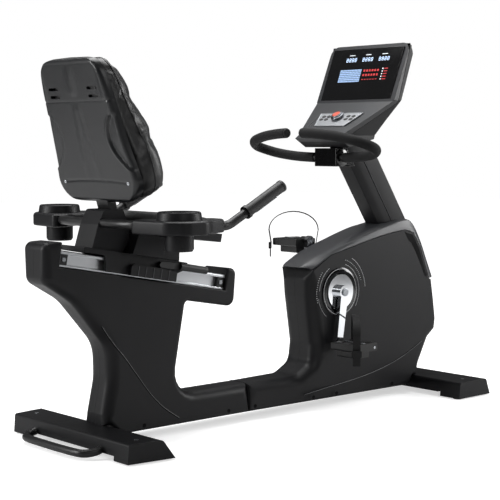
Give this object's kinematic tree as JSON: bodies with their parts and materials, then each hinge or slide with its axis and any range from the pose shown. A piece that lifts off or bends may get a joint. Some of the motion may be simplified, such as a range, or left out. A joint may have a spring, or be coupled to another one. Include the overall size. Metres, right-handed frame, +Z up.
{
  "type": "recumbent exercise bike",
  "caption": "Recumbent exercise bike with sliding seat, reclined backrest, side arms with cup wells, enclosed pedal drive, mast console and loop handlebar.",
  "frame": {"origin": "on the floor, midway along the length and across the width", "axes": "+X forwards, the way the rider faces; +Y to the rider's left; +Z up"},
  "size_m": [1.748, 0.788, 1.262],
  "materials": {
    "frame_paint": "satin black powder coat",
    "cover_plastic": "fine-grained matte black moulding",
    "top_cover_plastic": "satin dark grey moulding",
    "shell_plastic": "satin charcoal moulding",
    "bezel_plastic": "satin grey moulding",
    "small_plastic": "matte black moulding",
    "gloss_black": "gloss black",
    "deck_silver": "silver lacquered plastic",
    "knob": "chromed ring with a coral centre",
    "roller_plastic": "off-white nylon",
    "aluminium": "anodised extrusion",
    "steel": "turned and zinc plated",
    "chrome": "polished chrome",
    "iron": "machined casting",
    "rubber": "matte black rubber",
    "foam": "closed-cell foam sleeve",
    "vinyl": "black grained vinyl over foam"
  },
  "bodies": {
    "frame": {"main_beam": "frame_paint", "seat_post": "frame_paint", "rail_bed": "frame_paint", "front_frame": "frame_paint", "rear_stabiliser_tube": "frame_paint", "front_stabiliser_tube": "frame_paint", "rear_stabiliser_cover": "cover_plastic", "front_stabiliser_cover": "cover_plastic", "floor_feet": "rubber", "wheel_axles": "steel", "lift_handle": "frame_paint", "column_cover_left": "cover_plastic", "column_cover_right": "cover_plastic", "seat_rail": "aluminium", "rail_end_stops": "small_plastic", "rail_bolts": "steel", "shroud_left": "cover_plastic", "shroud_right": "cover_plastic", "shroud_top_cover": "top_cover_plastic", "crank_surrounds": "gloss_black", "mast_cover": "cover_plastic", "console_housing": "cover_plastic", "console_bezel": "bezel_plastic", "display_glass": "gloss_black", "deck_plate": "deck_silver", "handlebar_tube": "frame_paint", "handlebar_grips": "foam", "handlebar_clamp_cover": "gloss_black", "bearings": "steel", "magnet_brake": "iron", "drive_belt": "rubber"},
    "crankset": {"crank_axle": "steel", "drive_pulley": "aluminium", "crank_arms": "chrome", "crank_bolts": "chrome", "pedal_spindles": "steel"},
    "flywheel": {"flywheel": "iron"},
    "pedal_left": {"pedal_left": "small_plastic", "pedal_strap_left": "rubber"},
    "pedal_right": {"pedal_right": "small_plastic", "pedal_strap_right": "rubber"},
    "seat": {"carriage": "cover_plastic", "seat_bracket": "cover_plastic", "backrest_post": "frame_paint", "side_arm_tube": "frame_paint", "cup_tray_left": "cover_plastic", "cup_tray_right": "cover_plastic", "side_grips": "foam", "pulse_plates": "chrome", "seat_pan": "cover_plastic", "seat_pad": "vinyl", "backrest_shell": "shell_plastic", "backrest_pad": "vinyl"},
    "front_rollers": {"front_rollers": "roller_plastic"},
    "rear_rollers": {"rear_rollers": "roller_plastic"},
    "seat_lever": {"seat_lever": "small_plastic"},
    "transport_wheel_left": {"transport_wheel_left": "rubber"},
    "transport_wheel_right": {"transport_wheel_right": "rubber"},
    "console_knob": {"console_knob": "knob"}
  },
  "joints": [
    {"name": "seat_slide", "type": "slide", "parent": "frame", "child": "seat", "axis": [0.9839, 0, -0.1788], "range_m": [-0.045, 0.13]},
    {"name": "front_roller_turn", "type": "hinge", "parent": "seat", "child": "front_rollers", "pos_m": [-0.43259, 0, 0.50647], "axis": [0, 1, 0], "range_deg": [-200, 560]},
    {"name": "rear_roller_turn", "type": "hinge", "parent": "seat", "child": "rear_rollers", "pos_m": [-0.62936, 0, 0.54222], "axis": [0, 1, 0], "range_deg": [-200, 560]},
    {"name": "seat_lever_lift", "type": "hinge", "parent": "seat", "child": "seat_lever", "pos_m": [-0.45241, 0, 0.5428], "axis": [0, -1, 0], "range_deg": [0, 15], "stiffness_Nm_per_rad": 2, "springref_deg": -8.59},
    {"name": "flywheel_spin", "type": "hinge", "parent": "frame", "child": "flywheel", "pos_m": [0.462, 0, 0.25], "axis": [0, 1, 0], "continuous": true},
    {"name": "crank_turn", "type": "hinge", "parent": "frame", "child": "crankset", "pos_m": [0.316, 0, 0.4], "axis": [0, 1, 0], "continuous": true},
    {"name": "pedal_left_spin", "type": "hinge", "parent": "crankset", "child": "pedal_left", "pos_m": [0.33966, 0, 0.56835], "axis": [0, 1, 0], "continuous": true},
    {"name": "pedal_right_spin", "type": "hinge", "parent": "crankset", "child": "pedal_right", "pos_m": [0.29234, 0, 0.23165], "axis": [0, 1, 0], "continuous": true},
    {"name": "wheel_left_spin", "type": "hinge", "parent": "frame", "child": "transport_wheel_left", "pos_m": [0.85, 0.217, 0.025], "axis": [0, 1, 0], "continuous": true},
    {"name": "wheel_right_spin", "type": "hinge", "parent": "frame", "child": "transport_wheel_right", "pos_m": [0.85, -0.217, 0.025], "axis": [0, 1, 0], "continuous": true},
    {"name": "knob_turn", "type": "hinge", "parent": "frame", "child": "console_knob", "pos_m": [0.38427, 0, 1.00098], "axis": [-0.5644, 0, 0.8255], "continuous": true}
  ],
  "couplings": [
    {"joint": "front_roller_turn", "follows": "seat_slide", "rad_per_m": 74.074},
    {"joint": "rear_roller_turn", "follows": "seat_slide", "rad_per_m": 74.074},
    {"joint": "crank_turn", "follows": "flywheel_spin", "ratio": 0.25455}
  ]
}
